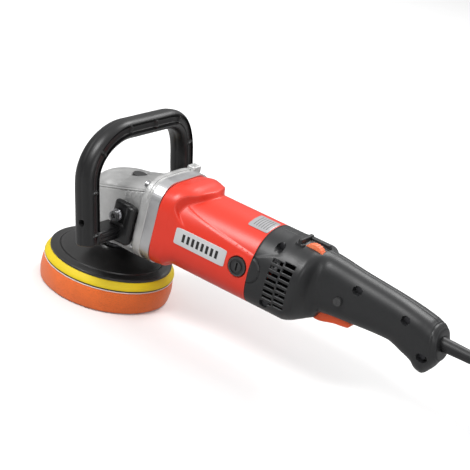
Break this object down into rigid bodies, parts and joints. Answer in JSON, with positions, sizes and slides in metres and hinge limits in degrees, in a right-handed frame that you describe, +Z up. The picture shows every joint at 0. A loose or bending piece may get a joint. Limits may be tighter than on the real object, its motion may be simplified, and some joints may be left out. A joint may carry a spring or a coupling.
{
  "type": "rotary polisher",
  "caption": "Mains-powered right-angle rotary polisher with a loop handle, barrel motor, rear trigger grip and a foam pad on a hook-and-loop disc.",
  "frame": {"origin": "centre of the foam pad's working face, on the spindle axis", "axes": "+X aft along the motor towards the cord, +Z up the spindle towards the loop handle, +Y completes the right-handed frame and points away from the side with the lock-on button"},
  "size_m": [0.7142, 0.225, 0.2105],
  "materials": {
    "foam_orange": "open-cell foam, matt",
    "loop_cloth": "napped loop cloth",
    "hook_black": "woven hook tape",
    "pu_yellow": "moulded polyurethane foam skin",
    "plate_black": "fine spark texture",
    "steel": "ground",
    "hardened_steel": "hardened and oiled",
    "bearing_steel": "ground and polished",
    "machined_aluminium": "die-cast, machined faces",
    "zinc_steel": "zinc plated",
    "seal_rubber": "smooth nitrile",
    "cast_aluminium": "sand-textured casting",
    "lamination": "stacked laminations, varnished",
    "copper": "enamelled copper wire",
    "fan_plastic": "glass-filled nylon",
    "body_red": "fine satin texture",
    "plastic_black": "plain moulded",
    "brass": "stamped",
    "carbon": "pressed graphite",
    "spring_steel": "drawn wire",
    "cap_black": "smooth",
    "plate_silver": "brushed foil",
    "handle_charcoal": "soft satin texture",
    "control_orange": "satin",
    "cord_rubber": "smooth PVC",
    "nickel_pins": "nickel plated brass",
    "loop_charcoal": "grained moulding"
  },
  "bodies": {
    "tool_body": {"gear_housing": "cast_aluminium", "bearing_box": "machined_aluminium", "bearing_box_screws": "zinc_steel", "dust_seal": "seal_rubber", "lower_bearing_outer": "bearing_steel", "needle_bearings": "bearing_steel", "gearbox_plate": "machined_aluminium", "flange_screws": "zinc_steel", "pinion_bearing_outer": "bearing_steel", "armature_bearing_outers": "bearing_steel", "motor_housing": "body_red", "fan_baffle": "plastic_black", "stator_core": "lamination", "field_coils": "copper", "brush_holders": "brass", "carbon_brushes": "carbon", "brush_springs": "spring_steel", "brush_caps": "cap_black", "name_plate": "plate_silver", "rating_plate": "plate_silver", "handle_shell_near": "handle_charcoal", "handle_shell_far": "handle_charcoal", "handle_screws": "hardened_steel", "switch_body": "plastic_black", "speed_module": "plastic_black", "trigger_pin": "steel", "cord_clamp": "plastic_black", "cord_guard": "cord_rubber", "power_cord": "cord_rubber", "cord_coil": "cord_rubber", "plug_body": "cord_rubber", "plug_pins": "nickel_pins", "loop_handle": "loop_charcoal", "loop_handle_bolts": "zinc_steel", "spindle_lock_spring": "spring_steel"},
    "polishing_head": {"spindle": "steel", "crown_gear": "hardened_steel", "spindle_spacer": "steel", "lower_bearing_inner": "bearing_steel", "foam_pad": "foam_orange", "pad_loop_layer": "loop_cloth", "hook_layer": "hook_black", "cushion_disc": "pu_yellow", "backing_plate": "plate_black", "plate_insert": "steel"},
    "intermediate": {"intermediate_shaft": "steel", "bevel_pinion": "hardened_steel", "reduction_gear": "hardened_steel", "pinion_bearing_inner": "bearing_steel"},
    "armature": {"armature_shaft": "steel", "armature_core": "lamination", "armature_windings": "copper", "commutator": "copper", "cooling_fan": "fan_plastic", "armature_bearing_inners": "bearing_steel"},
    "lock": {"spindle_lock_button": "cap_black", "spindle_lock_pin": "steel"},
    "trigger_body": {"trigger": "control_orange"},
    "lock_on": {"lock_on_button": "cap_black"},
    "dial": {"speed_dial": "control_orange"}
  },
  "joints": [
    {"name": "spindle_spin", "type": "hinge", "parent": "tool_body", "child": "polishing_head", "pos_m": [0, 0, 0.095], "axis": [0, 0, 1], "continuous": true},
    {"name": "intermediate_spin", "type": "hinge", "parent": "tool_body", "child": "intermediate", "pos_m": [0.03, 0, 0.095], "axis": [1, 0, 0], "continuous": true},
    {"name": "armature_spin", "type": "hinge", "parent": "tool_body", "child": "armature", "pos_m": [0.12, 0, 0.115], "axis": [1, 0, 0], "continuous": true},
    {"name": "spindle_lock_press", "type": "slide", "parent": "tool_body", "child": "lock", "axis": [0, 0, -1], "range_m": [0, 0.006], "stiffness_N_per_m": 600, "springref_m": -0.003, "deforming": ["spindle_lock_spring"]},
    {"name": "trigger_pull", "type": "hinge", "parent": "tool_body", "child": "trigger_body", "pos_m": [0.269, 0, 0.098], "axis": [0, -1, 0], "range_deg": [0, 7], "stiffness_Nm_per_rad": 0.6, "springref_deg": -8.59},
    {"name": "lock_on_press", "type": "slide", "parent": "tool_body", "child": "lock_on", "axis": [0, 1, 0], "range_m": [0, 0.003], "stiffness_N_per_m": 500, "springref_m": -0.001},
    {"name": "speed_dial_turn", "type": "hinge", "parent": "tool_body", "child": "dial", "pos_m": [0.246, -0.01, 0.1485], "axis": [0, 1, 0], "range_deg": [0, 270]}
  ],
  "couplings": [
    {"joint": "intermediate_spin", "follows": "spindle_spin", "ratio": 3},
    {"joint": "armature_spin", "follows": "spindle_spin", "ratio": -9}
  ]
}
